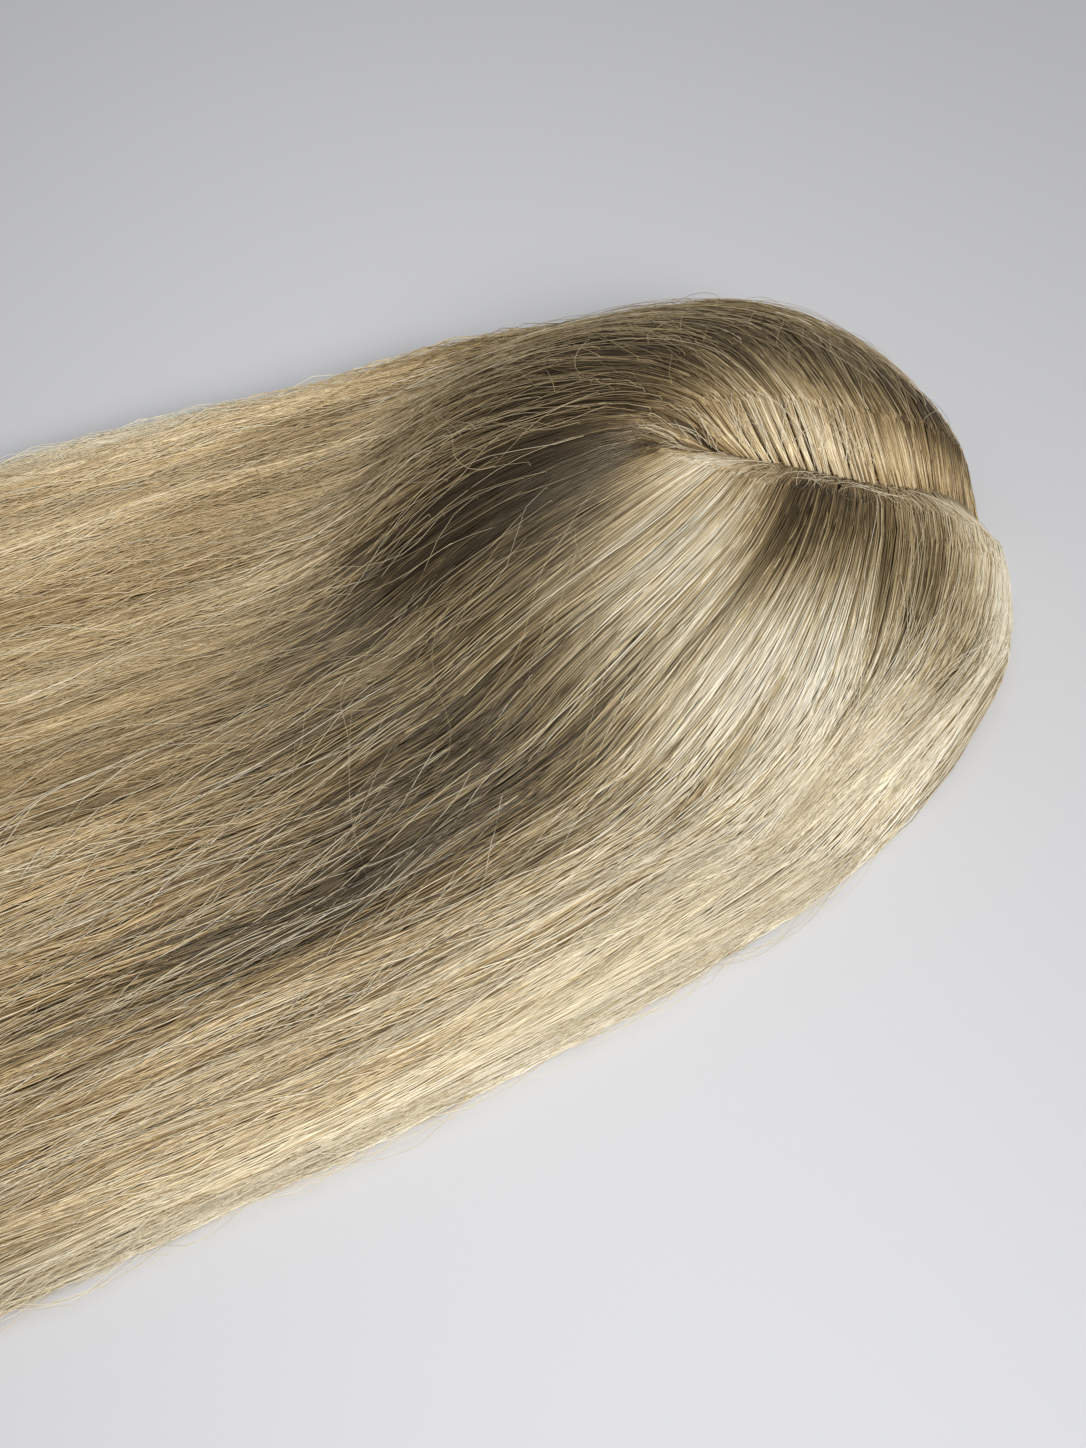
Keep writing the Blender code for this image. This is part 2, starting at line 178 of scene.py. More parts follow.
class Flow:
    """Plan of the combed hair: a place across, counted in guides, and a run along from the root."""

    def __init__(self):
        curves = [even_curve(guide_points(guide)) for guide in GUIDES]
        places = np.linspace(0, LAST_GUIDE, LAST_GUIDE * TABLE_ACROSS + 1)
        knots = np.arange(LAST_GUIDE + 1)
        self.table = curve_through(knots, np.stack([points for points, length in curves]), places)
        self.lengths = curve_through(knots, np.array([length for points, length in curves]), places)

    def plan(self, across, run):
        """Points in plan for arrays of places across and runs."""
        row = np.clip(across, 0, LAST_GUIDE) * TABLE_ACROSS
        low = np.minimum(row.astype(int), len(self.lengths) - 2)
        part = row - low
        length = self.lengths[low] * (1 - part) + self.lengths[low + 1] * part
        station = np.clip(run / length, 0, 1) * (TABLE_ALONG - 1)
        left = np.minimum(station.astype(int), TABLE_ALONG - 2)
        share = (station - left)[..., None]
        part = part[..., None]
        near = self.table[low, left] * (1 - share) + self.table[low, left + 1] * share
        far = self.table[low + 1, left] * (1 - share) + self.table[low + 1, left + 1] * share
        return near * (1 - part) + far * part

    def widths(self):
        """Largest width of each stretch between guides."""
        edges = self.table[::TABLE_ACROSS]
        return np.linalg.norm(np.diff(edges, axis=0), axis=2).max(axis=1)


flow = Flow()


def egg_height(x, y, front, back, right, left, height):
    """Height of a half egg over a point in plan, and 0 outside it."""
    along = x / np.where(x > 0, front, back)
    across = y / np.where(y < 0, right, left)
    return height * np.sqrt(np.clip(1 - along**2 - across**2, 0, 1))


def cap_height(x, y):
    """Top of the cap over a point in plan, and 0 outside it."""
    half_length = CAP_LENGTH / 2
    half_width = CAP_WIDTH / 2
    return egg_height(x, y, half_length, half_length, half_width, half_width, CAP_HEIGHT)


def smooth_max(first, second):
    """Larger of two heights, rounded where they meet."""
    reach = np.minimum(FALL_BLEND, first + second) + TINY
    share = np.clip(0.5 + 0.5 * (first - second) / reach, 0, 1)
    return second + (first - second) * share + reach * share * (1 - share)


def lying_height(across, run, x):
    """Thickness of the hair that lies on the table."""
    edge = np.abs(2 * np.clip(across, 0, LAST_GUIDE) / LAST_GUIDE - 1)
    behind = np.clip((-x - DOME_BACK / 2) / (HAIR_LENGTH - DOME_BACK / 2), 0, 1)
    body = FALL_THICKNESS + (TIP_THICKNESS - FALL_THICKNESS) * behind
    for valley in VALLEYS:
        beside = np.exp(-((across - valley.across) / valley.width) ** 2)
        begun = ease((run / HAIR_LENGTH - valley.start) / (valley.full - valley.start))
        body = body * (1 - valley.depth * beside * begun)
    settled = ease((DOME_FRONT - x) / (DOME_FRONT + DOME_BACK / 2))
    return EDGE_THICKNESS + (body - EDGE_THICKNESS) * np.sqrt(1 - edge**4) * settled


def lock_fullness(across):
    """1 along the middle of a lock and 0 in the grooves between locks."""
    counts = np.array([guide.locks for guide in GUIDES])
    place = np.interp(across, np.arange(LAST_GUIDE + 1), np.concatenate([[0], np.cumsum(counts)[:-1]]))
    return np.abs(np.sin(np.pi * place))


def hair_height(across, run, x, y):
    """Top of the hair: dome and lying lengths in one, pressed down along the parting and between locks."""
    dome = egg_height(x, y, DOME_FRONT, DOME_BACK, DOME_RIGHT, DOME_LEFT, DOME_HEIGHT)
    cap = cap_height(x, y)
    full = smooth_max(dome, lying_height(across, run, x))
    lift = 1 - np.exp(-((run / PART_ROUNDING) ** 2))
    thin = np.minimum(cap + PART_COVER, full)
    z = thin + (full - thin) * lift
    settled = ease(run / (LOCK_SETTLE * HAIR_LENGTH))
    z = z - LOCK_DEPTH * (1 - lock_fullness(across)) * settled * np.minimum(1, (z - cap) / FALL_THICKNESS)
    return np.maximum(z, EDGE_THICKNESS / 2)


class Value:
    """A number that changes over a surface, for use in plain arithmetic."""

    def __init__(self, finish, socket):
        self.finish = finish
        self.socket = socket

    def math(self, operation, *terms):
        sockets = dict(enumerate(terms))
        return self.finish.node("ShaderNodeMath", {"operation": operation}, sockets)

    def __add__(self, other):
        return self.math("ADD", self, other)

    def __radd__(self, other):
        return self.math("ADD", other, self)

    def __sub__(self, other):
        return self.math("SUBTRACT", self, other)

    def __rsub__(self, other):
        return self.math("SUBTRACT", other, self)

    def __mul__(self, other):
        return self.math("MULTIPLY", self, other)

    def __rmul__(self, other):
        return self.math("MULTIPLY", other, self)

    def __truediv__(self, other):
        return self.math("DIVIDE", self, other)

    def __rtruediv__(self, other):
        return self.math("DIVIDE", other, self)

    def __pow__(self, other):
        return self.math("POWER", self, other)

    def __rpow__(self, other):
        return self.math("POWER", other, self)

    def clipped(self):
        return self.finish.node("ShaderNodeClamp", {}, {"Value": self})


class Finish:
    """A material in the making."""

    def __init__(self, name):
        self.material = bpy.data.materials.new(name)
        self.material.use_nodes = True
        self.tree = self.material.node_tree
        self.shader = self.tree.nodes["Principled BSDF"]

    def feed(self, socket, value):
        if isinstance(value, Value):
            self.tree.links.new(value.socket, socket)
        else:
            socket.default_value = value

    def node(self, kind, settings, sockets, output=0):
        """One node: its type, its settings, then the values or links of its sockets."""
        made = self.tree.nodes.new(kind)
        for name, setting in settings.items():
            if name == "stops":
                self.set_stops(made.color_ramp, setting)
            else:
                setattr(made, name, setting)
        for name, value in sockets.items():
            self.feed(made.inputs[name], value)
        return Value(self, made.outputs[output])

    def set_stops(self, ramp, stops):
        while len(ramp.elements) < len(stops):
            ramp.elements.new(0.5)
        for element, (place, colour) in zip(ramp.elements, stops):
            element.position = place
            element.color = (*colour, 1)

    def mix(self, first, second, share, blend="MIX"):
        """Two colours mixed by a share."""
        colours = [(*c, 1) if isinstance(c, tuple) and len(c) == 3 else c for c in (first, second)]
        settings = {"data_type": "RGBA", "blend_type": blend}
        return self.node("ShaderNodeMix", settings, {0: share, 6: colours[0], 7: colours[1]}, 2)

    def attribute(self, name, output="Fac"):
        return self.node("ShaderNodeAttribute", {"attribute_name": name}, {}, output)

    def noise(self, vector, scale, detail=2.0, roughness=0.5):
        sockets = {"Vector": vector, "Scale": scale, "Detail": detail, "Roughness": roughness}
        return self.node("ShaderNodeTexNoise", {}, sockets)

    def stretched(self, vector, scale):
        return self.node("ShaderNodeMapping", {}, {"Vector": vector, "Scale": scale})

    def bump(self, height, strength, distance):
        sockets = {"Height": height, "Strength": strength, "Distance": distance}
        return self.node("ShaderNodeBump", {}, sockets)

    def finished(self, **sockets):
        """The material, with the shader's sockets set; names use _ for a space."""
        for name, value in sockets.items():
            socket = self.shader.inputs[name.replace("_", " ")]
            self.feed(socket, (*value, 1) if isinstance(value, tuple) and len(value) == 3 else value)
        return self.material


# Hair colour from the darkest to the lightest tone, in ash and in gold; the tone carries real lowlights and
# highlights and painted light and shade
ASH_STOPS = (
    (0.00, (0.027, 0.0185, 0.010)),
    (0.25, (0.121, 0.087, 0.046)),
    (0.50, (0.350, 0.276, 0.152)),
    (0.75, (0.640, 0.562, 0.385)),
    (1.00, (0.950, 0.905, 0.780)),
)
GOLD_STOPS = (
    (0.00, (0.034, 0.022, 0.010)),
    (0.25, (0.148, 0.094, 0.040)),
    (0.50, (0.410, 0.277, 0.123)),
    (0.75, (0.725, 0.558, 0.315)),
    (1.00, (0.930, 0.830, 0.610)),
)


def strand_finish():
    """Ash blonde hair: tone from dark to light, real lowlights and highlights with painted light and shade,
    warmth from ash to gold.
    """
    finish = Finish("hair_strands")
    tone = finish.attribute("tone")
    warmth = finish.attribute("warmth")
    ash = finish.node("ShaderNodeValToRGB", {"stops": ASH_STOPS}, {"Fac": tone})
    gold = finish.node("ShaderNodeValToRGB", {"stops": GOLD_STOPS}, {"Fac": tone})
    colour = finish.mix(ash, gold, warmth)
    sheen = {"IOR": 1.6, "Specular_IOR_Level": 0.8, "Specular_Tint": (1.0, 0.86, 0.62)}
    return finish.finished(Base_Color=colour, Roughness=0.28, **sheen)


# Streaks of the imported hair, by place across and run: how fine they are and how much they show
LOCK_STREAKS = (9, 9, 1)
HAIR_STREAKS = (75, 16, 1)
LOCK_CONTRAST = 0.35
HAIR_CONTRAST = 0.9
BED_WARMTH = 0.55


def bed_finish():
    """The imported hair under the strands, streaked along the flow."""
    finish = Finish("hair_under")
    tone = finish.attribute("tone")
    place = finish.attribute("flow", "Vector")
    locks = finish.noise(finish.stretched(place, LOCK_STREAKS), scale=1.0, detail=3.0, roughness=0.6)
    hairs = finish.noise(finish.stretched(place, HAIR_STREAKS), scale=1.0, detail=2.0, roughness=0.6)
    streaked = (tone + (locks - 0.5) * LOCK_CONTRAST + (hairs - 0.5) * HAIR_CONTRAST).clipped()
    ash = finish.node("ShaderNodeValToRGB", {"stops": ASH_STOPS}, {"Fac": streaked})
    gold = finish.node("ShaderNodeValToRGB", {"stops": GOLD_STOPS}, {"Fac": streaked})
    colour = finish.mix(ash, gold, BED_WARMTH)
    normal = finish.bump(hairs + locks * 0.6, strength=0.7, distance=0.0005)
    sheen = {"Specular_IOR_Level": 0.4, "Specular_Tint": (1.0, 0.85, 0.60)}
    return finish.finished(Base_Color=colour, Roughness=0.5, Normal=normal, **sheen)


THREAD_COLOUR = (0.80, 0.62, 0.50)
HOLE_COLOUR = (0.60, 0.44, 0.33)
PATCH_COLOUR = (0.72, 0.55, 0.42)


def cap_finish():
    """Skin-toned cap cloth, a fine mesh."""
    finish = Finish("cap_cloth")
    place = finish.node("ShaderNodeTexCoord", {}, {}, "Object")
    mesh = {"Vector": place, "Scale": 900.0}
    inside = finish.node("ShaderNodeTexVoronoi", {"feature": "DISTANCE_TO_EDGE"}, mesh)
    hole = (inside * 6).clipped()
    patch = finish.noise(place, scale=40.0)
    colour = finish.mix(THREAD_COLOUR, HOLE_COLOUR, hole)
    colour = finish.mix(colour, PATCH_COLOUR, patch * 0.4)
    normal = finish.bump(1 - hole, strength=0.5, distance=0.0002)
    return finish.finished(Base_Color=colour, Roughness=0.75, Normal=normal)


DARK_LACQUER = (0.10, 0.065, 0.04)
WORN_LACQUER = (0.19, 0.13, 0.085)


def clip_finish():
    """Brown lacquered spring steel."""
    finish = Finish("clip_lacquer")
    place = finish.node("ShaderNodeTexCoord", {}, {}, "Object")
    wear = finish.noise(place, scale=260.0, detail=4.0, roughness=0.6)
    colour = finish.mix(DARK_LACQUER, WORN_LACQUER, wear)
    return finish.finished(Base_Color=colour, Roughness=wear * 0.25 + 0.25, Metallic=0.5, Coat_Weight=0.3)


# The floor is painted palest around one place in front of the topper, a painted pool of light, and greyer
# away from it as painted shade, less so in depth
LIGHT_POOL_MIDDLE = (0.075, -0.09)
LIGHT_POOL_SIZE = 0.235
LIGHT_POOL_DEPTH_SHARE = 0.2
PAPER_COLOURS = ((0.69, 0.692, 0.71), (0.72, 0.722, 0.74))
PAINTED_SHADE_PAPER = (0.49, 0.492, 0.51)


def floor_finish():
    """Pale matt paper, with a painted pool of light and painted shade away from it."""
    finish = Finish("floor_paper")
    place = finish.node("ShaderNodeTexCoord", {}, {}, "Object")
    grain = finish.noise(place, scale=900.0, detail=3.0)
    cloud = finish.noise(place, scale=1.4)
    colour = finish.mix(*PAPER_COLOURS, cloud)
    # Painted pool of light: the paper greys to a painted shade colour away from one place
    across = finish.node("ShaderNodeSeparateXYZ", {}, {"Vector": place}, 0) - LIGHT_POOL_MIDDLE[0]
    deep = finish.node("ShaderNodeSeparateXYZ", {}, {"Vector": place}, 1) - LIGHT_POOL_MIDDLE[1]
    away = (across * across + deep * deep * LIGHT_POOL_DEPTH_SHARE) / LIGHT_POOL_SIZE**2
    colour = finish.mix(colour, PAINTED_SHADE_PAPER, (1 - math.e ** (away * -1)).clipped())
    normal = finish.bump(grain, strength=0.06, distance=0.0004)
    return finish.finished(Base_Color=colour, Roughness=0.85, Normal=normal)


def mesh_from_arrays(name, points, quads, triangles):
    """A smooth mesh from arrays of corners and faces."""
    mesh = bpy.data.meshes.new(name)
    corners = np.concatenate([quads.ravel(), triangles.ravel()]).astype(np.int32)
    starts = np.concatenate([4 * np.arange(len(quads)), 4 * len(quads) + 3 * np.arange(len(triangles))])
    mesh.vertices.add(len(points))
    mesh.vertices.foreach_set("co", points.ravel().astype(np.float32))
    mesh.loops.add(len(corners))
    mesh.loops.foreach_set("vertex_index", corners)
    mesh.polygons.add(len(starts))
    mesh.polygons.foreach_set("loop_start", starts.astype(np.int32))
    mesh.update(calc_edges=True)
    mesh.shade_smooth()
    return mesh


def point_attribute(mesh, name, values):
    """A number or a vector kept at every point of a mesh."""
    vector = values.ndim > 1
    made = mesh.attributes.new(name, "FLOAT_VECTOR" if vector else "FLOAT", "POINT")
    made.data.foreach_set("vector" if vector else "value", values.ravel().astype(np.float32))


def add_piece(name, mesh, material, replaced=()):
    """A visible piece of the topper, which takes the place of the named solids."""
    piece = bpy.data.objects.new(name, mesh)
    piece.location = cap_middle
    bpy.context.collection.objects.link(piece)
    mesh.materials.append(material)
    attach(piece, "root")
    for node in replaced:
        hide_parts(node)


# A strand is a tube with so many sides, closed at both ends
SIDES = 3
TIP_BORDER = 0.01


def tube_corners(paths, radius):
    """Corners of the tube around each strand, turned at random about its own line."""
    ahead = np.gradient(paths, axis=1)
    ahead /= np.linalg.norm(ahead, axis=2, keepdims=True) + TINY
    side = np.cross(ahead, (0, 0, 1))
    side /= np.linalg.norm(side, axis=2, keepdims=True) + TINY
    above = np.cross(side, ahead)
    turn = 2 * np.pi * (np.arange(SIDES) / SIDES + chance.random((len(paths), 1)))[:, None, :, None]
    ring = np.cos(turn) * side[:, :, None] + np.sin(turn) * above[:, :, None]
    return paths[:, :, None] + radius[:, :, None, None] * ring


def unwrapped(tone, along):
    """Texture places of all corners: strands side by side from dark to light, their ends along the border."""
    count, stations = along.shape
    rank = np.empty(count)
    rank[np.argsort(tone.mean(axis=1))] = np.arange(count)
    low = np.broadcast_to(along[:, :-1, None], (count, stations - 1, SIDES))
    high = np.broadcast_to(along[:, 1:, None], low.shape)
    left = (rank[:, None, None] + np.arange(SIDES) / SIDES) / count
    right = np.broadcast_to(left + 1 / (SIDES * count), low.shape)
    left = np.broadcast_to(left, low.shape)
    around = np.stack([left, high, right, high, right, low, left, low], axis=-1)
    ends = np.tile(np.array([0, 0, 1, 0, 0.5, 1]), (2 * count, 1))
    ends[:, 0::2] = (ends[:, 0::2] + np.tile(rank, 2)[:, None]) / count
    ends[:, 1::2] = np.repeat([0, 1 - TIP_BORDER], count)[:, None] + ends[:, 1::2] * TIP_BORDER
    return np.concatenate([around.ravel(), ends.ravel()]).astype(np.float32)


def strand_mesh(name, paths, radius, tone, warmth, along):
    """Many strands in one mesh. paths: strands x stations x 3; the rest have one number for each station."""
    count, stations = along.shape
    points = tube_corners(paths, radius).reshape(-1, 3)
    corner = np.arange(len(points)).reshape(count, stations, SIDES)
    after = np.roll(corner, -1, axis=2)
    quads = np.stack([corner[:, 1:], after[:, 1:], after[:, :-1], corner[:, :-1]], axis=-1).reshape(-1, 4)
    ends = np.concatenate([corner[:, 0], corner[:, -1, ::-1]])
    mesh = mesh_from_arrays(name, points, quads, ends)
    point_attribute(mesh, "tone", np.repeat(tone.ravel(), SIDES))
    point_attribute(mesh, "warmth", np.repeat(warmth.ravel(), SIDES))
    mesh.uv_layers.new(name="OFBake").uv.foreach_set("vector", unwrapped(tone, along))
    return mesh


# The layers of strands in each fall: share of all, height over the form, how far clumps draw together,
# own sideways sway, thickness, mean tone and its spread
Layer = namedtuple("Layer", "name share low high pull sway thickness tone spread")
LAYERS = (
    Layer("under", 0.28, -0.0018, -0.0008, 0.12, 0.0006, 1.15, 0.46, 0.10),
    Layer("combed", 0.52, -0.0009, 0.0001, 0.22, 0.0004, 1.15, 0.66, 0.12),
    Layer("loose", 0.20, -0.0002, 0.0004, 0.05, 0.0010, 0.85, 0.74, 0.14),
)
STRANDS = 5440
STRAND_STATIONS = 24
STRAND_RADIUS = 0.00017
STRAND_SIZES = (0.75, 1.2)
THINNED_AT_TIP = 0.75
MOST_IN_PIECE = 1300

# A smooth change over a place across, a run, or a share of a strand: where it starts and how far it takes.
# A negative reach runs the other way.
Ramp = namedtuple("Ramp", "start reach")
THINNING = Ramp(0.7, 0.3)

# Roots: how finely stations crowd there, how far they scatter behind and before the line, and the run over
# which a strand rises from the cap to the top of the hair
ROOT_CROWDING = 1.25
ROOT_SCATTER = 0.0020
ROOT_ADVANCE = 0.0005
ROOT_RISE = 0.005
ROOT_CLEARANCE = 0.0003
FLOOR_CLEARANCE = 1.2 * STRAND_RADIUS

# Ends: how much shorter strands are in the grooves between locks, and how their lengths differ
STRAND_NOTCH = 0.012
LAYERING = 0.18
LAYERING_BIAS = 1.5

# Clumps of neighbours that draw together along the lengths
CLUMPS_PER_METRE = 700
LEAST_CLUMPS = 8
CLUMPING = Ramp(0.0, 0.20)
CLUMP_LIFT = 0.0002
CLUMP_TONE = 0.035
CLUMP_WARMTH = 0.05
OWN_WARMTH = 0.05

# Tufts at the roots: how close they stand, how far they gather and lean, and where across they are
TUFTS_PER_METRE = 220
TUFT_GATHER = 0.72
LOOSEST_IN_TUFT = 0.4
TUFT_REACH = 0.008
TUFT_BEND = 0.009
TUFT_LEAN = 0.0012
NEAR_TUFTS = 0.7
NEAR_TUFTS_BEGIN = Ramp(1.0, 0.8)
NEAR_TUFTS_END = Ramp(4.0, -0.8)
FAR_TUFTS_BEGIN = Ramp(5.8, 1.0)
FAR_TUFTS_END = Ramp(11.4, -2.4)

# Sideways sway: a long and a short wave for each strand, and a slow drift that neighbours share
LONG_WAVE = 0.14
SHORT_WAVE = 0.055
SHORT_SWAY = 0.6
WAVE_LENGTHS = (0.6, 1.5)
SIDEWAYS_DRIFT = 0.0011
HEIGHT_DRIFT = 0.0005
TONE_DRIFT = 0.05
DRIFT_PARTS = 7
DRIFT_LENGTHS = (0.09, 0.28)
DRIFT_SLANTS = (-1.6, 1.6)
SWAY_GROWN = Ramp(0.0, 0.10)

# How many times more the strands sway past the dome, on the near and the far side, and over the far crown
PAST_DOME = Ramp(0.07, 0.10)
NEAR_MUSSED = 1.5
FAR_MUSSED = 2.4
NEAR_TO_FAR = Ramp(3.2, 2.4)
CROWN_MUSSED = 1.2
CROWN_ACROSS = Ramp(6.2, 1.6)
CROWN_ALONG = Ramp(0.0, 0.03)

# The share of its sway that a strand keeps at the outermost guides, so that the outline stays even
EDGE_FREEDOM = 0.2
EDGE_WIDTH = 1.2

# Rim strands: sideways scatter, own waves, how far they wander up and down, tone, warmth and thickness
RIM_STRANDS = 150
RIM_SCATTER = (-0.0024, 0.0004)
RIM_GROWN = Ramp(0.0, 0.05)
RIM_LONG_WAVE = 0.10
RIM_LONG_SWAY = 0.0007
RIM_SHORT_WAVE = 0.05
RIM_SHORT_SWAY = 0.0008
RIM_LEVEL_WAVE = 0.12
RIM_LEVEL_SWAY = 0.05
RIM_LOWEST = 0.03
RIM_TONE = 0.63
RIM_TONE_SPREAD = 0.14
RIM_WARMTH_SPREAD = 0.12
RIM_SIZES = (0.9, 1.3)

# Single hairs that stand out: share of all, and how far their tone is off
Pick = namedtuple("Pick", "share amount")
DARK_PICK = Pick(0.17, -0.30)
LIGHT_PICK = Pick(0.22, 0.25)
DARKEST = 0.02

# How much less the tones differ from hair to hair in the far lengths, near the roots and towards the tips
LENGTH_CALM = 0.50
LENGTH_CALM_ALONG = Ramp(0.07, 0.08)
LENGTH_CALM_ACROSS = Ramp(3.0, 3.0)
ROOT_CALM = 0.26
ROOT_CALM_ALONG = Ramp(0.07, -0.04)
TIP_CALM = 0.18
TIP_CALM_ALONG = Ramp(0.20, 0.08)

# Warmth at the roots, over the dome and the crown and along the lengths, and how much less it is at the edges
NEAR_ROOT_WARMTH = 0.85
FAR_ROOT_WARMTH = 0.82
ROOT_WARMTH_ACROSS = Ramp(4.5, 2.0)
ROOT_WARMTH_REACH = 0.032
DOME_WARMTH = 0.22
CROWN_WARMTH = 0.30
CROWN_MIDDLE = 7.0
CROWN_WIDTH = 1.6
LENGTH_WARMTH = 1.00
LENGTH_WARMTH_ALONG = Ramp(0.06, 0.15)
NEAR_ASH = 0.8
NEAR_ASH_ACROSS = Ramp(0.6, -0.6)
FAR_ASH = 0.4
FAR_ASH_ACROSS = Ramp(10.5, 1.5)

# Where the hair is painted darker or lighter: a place across and a run, how far each way, and by how much.
# Partly the real darker roots and lighter tips, mostly painted light: painted shade in the crown hollow, the
# valleys, grooves and folds and over the far side and far lengths, and painted highlights on the dome, the
# ridge and the slopes, at the front and on the far roots.
Shade = namedtuple("Shade", "name across width run reach amount")
SHADES = (
    Shade("near_roots", 2.75, 1.20, 0.020, 0.037, -0.50),
    Shade("front_roots", 1.55, 0.65, 0.050, 0.023, -0.33),
    # Painted sheen on the near slope
    Shade("slope_sheen", 1.30, 0.95, 0.164, 0.065, 0.31),
    Shade("dome_shine", 2.50, 0.85, 0.070, 0.024, 0.40),
    Shade("near_edge", 0.20, 1.20, 0.190, 0.150, 0.42),
    # Painted highlight at the front
    Shade("front_highlight", 0.50, 0.70, 0.028, 0.028, 0.28),
    Shade("front_light", 1.55, 0.40, 0.010, 0.014, 0.20),
    Shade("front_fold", 0.80, 0.60, 0.076, 0.018, -0.30),
    Shade("ridge", 4.05, 0.55, 0.044, 0.030, 0.41),
    Shade("slope_glint", 1.80, 0.50, 0.130, 0.024, 0.36),
    Shade("below_ridge", 5.10, 0.45, 0.062, 0.026, -0.15),
    Shade("fold_light", 4.60, 0.40, 0.205, 0.035, 0.12),
    Shade("middle_light", 6.60, 0.50, 0.180, 0.032, 0.12),
    # Painted highlight along the near side of the parting
    Shade("part_highlight", 5.05, 0.60, 0.014, 0.022, 0.48),
    Shade("crown_hollow", 6.20, 1.35, 0.060, 0.056, -0.89),
    Shade("crown_gap", 5.95, 0.60, 0.034, 0.020, -0.26),
    Shade("hollow_light", 7.50, 0.40, 0.078, 0.034, 0.18),
    Shade("groove_tail", 3.40, 0.50, 0.215, 0.050, -0.16),
    Shade("groove_end", 2.60, 0.35, 0.265, 0.035, -0.06),
    Shade("far_root_front", 11.20, 0.60, 0.024, 0.022, 0.07),
    Shade("hollow_far", 8.00, 1.00, 0.048, 0.042, -0.60),
    Shade("back_light", 7.15, 0.60, 0.118, 0.030, 0.12),
    Shade("far_roots", 9.95, 1.40, 0.060, 0.036, -0.50),
    Shade("far_lengths", 8.90, 0.90, 0.215, 0.060, 0.21),
    Shade("far_front", 12.00, 1.20, 0.022, 0.034, -0.63),
    Shade("far_middle", 9.70, 2.40, 0.160, 0.048, -0.26),
    Shade("valley_head", 4.05, 0.50, 0.112, 0.030, -0.12),
    # Painted highlights on the far roots where they rise from the parting, and at its front end
    Shade("root_highlight", 9.40, 2.20, 0.006, 0.013, 0.19),
    Shade("front_root_highlight", 11.80, 0.90, 0.004, 0.012, 0.21),
    Shade("near_root_edge", 2.30, 1.70, 0.000, 0.004, 0.30),
    Shade("hollow_edge", 5.75, 0.55, 0.132, 0.036, -0.26),
    Shade("hollow_fill", 6.10, 1.20, 0.062, 0.022, 0.11),
    Shade("valley", 3.62, 0.50, 0.160, 0.078, -0.57),
    Shade("inner_valley", 4.60, 0.65, 0.132, 0.065, -0.38),
    Shade("far_tips", 11.90, 1.25, 0.270, 0.095, 0.53),
    Shade("near_root_fold", 3.15, 0.40, 0.028, 0.028, -0.15),
    Shade("near_root_light", 2.42, 0.30, 0.046, 0.022, 0.10),
    Shade("fold_dark", 5.45, 0.40, 0.190, 0.030, -0.14),
    Shade("far_glint", 9.00, 0.30, 0.130, 0.014, 0.14),
    Shade("low_lengths", 2.00, 0.70, 0.228, 0.030, -0.15),
    Shade("ridge_tail", 5.15, 0.38, 0.096, 0.030, 0.20),
    Shade("near_root_front", 2.00, 0.35, 0.024, 0.016, -0.06),
    Shade("far_half", 8.50, 3.50, 0.270, 0.110, -0.10),
    Shade("near_tips", 0.10, 0.55, 0.330, 0.085, 0.16),
)


def risen(ramp, value):
    """Smooth step from 0 where a ramp starts to 1 at its end."""
    return ease((value - ramp.start) / ramp.reach)


def spaced_across(first, last, count):
    """Places across, one in each of so many even steps over the real width between two guides."""
    reach = np.concatenate([[0], np.cumsum(flow.widths())])
    step = (np.arange(count) + chance.random(count)) / count
    return np.interp(reach[first] + (reach[last] - reach[first]) * step, reach, np.arange(LAST_GUIDE + 1))


def shade(across, run):
    """How much darker or lighter the hair is painted at each place: painted light and shade, with the real
    darker roots.
    """
    total = np.zeros_like(run)
    for patch in SHADES:
        beside = ((across - patch.across) / patch.width) ** 2
        beyond = ((run - patch.run) / patch.reach) ** 2
        total = total + patch.amount * np.exp(-beside - beyond)
    return total


def wave(run, count, length, amount):
    """A slow random sideways wander for each strand."""
    turn = chance.uniform(0, 2 * np.pi, (count, 1))
    pitch = length * chance.uniform(*WAVE_LENGTHS, (count, 1))
    return amount * np.sin(2 * np.pi * run / pitch + turn)


class Drift:
    """A slow wander that neighbouring strands share."""

    def __init__(self, amount):
        self.amount = amount / math.sqrt(DRIFT_PARTS)
        self.pitches = chance.uniform(*DRIFT_LENGTHS, DRIFT_PARTS)
        self.slants = chance.uniform(*DRIFT_SLANTS, DRIFT_PARTS)
        self.turns = chance.uniform(0, 2 * np.pi, DRIFT_PARTS)

    def at(self, across, run):
        total = np.zeros_like(run)
        for pitch, slant, turn in zip(self.pitches, self.slants, self.turns):
            total = total + np.sin(2 * np.pi * (run / pitch + slant * across) + turn)
        return self.amount * total


sideways_drift = Drift(SIDEWAYS_DRIFT)
height_drift = Drift(HEIGHT_DRIFT)
tone_drift = Drift(TONE_DRIFT)
tufts = np.sort(chance.uniform(0, LAST_GUIDE, int(TUFTS_PER_METRE * flow.widths().sum())))
tuft_leans = chance.normal(0, TUFT_LEAN, len(tufts))


def laid(place, run, sideways, off, level=1.0):
    """Paths of strands laid on the form, or at a level below its top, and moved sideways and up."""
    ahead = np.maximum(run, 0)
    on_form = flow.plan(place, ahead)
    heading = np.gradient(on_form, axis=1)
    heading /= np.linalg.norm(heading, axis=2, keepdims=True) + TINY
    outward = np.stack([-heading[..., 1], heading[..., 0]], axis=-1)
    plan = on_form + heading[:, :1] * np.minimum(run, 0)[..., None] + outward * sideways[..., None]
    x, y = plan[..., 0], plan[..., 1]
    root = cap_height(x, y) + CAP_GAP
    top = np.maximum((hair_height(place, ahead, x, y) + off) * level, root + ROOT_CLEARANCE)
    z = root + (top - root) * ease((run - run[:, :1]) / ROOT_RISE)
    return np.stack([x, y, np.maximum(z, FLOOR_CLEARANCE)], axis=-1)


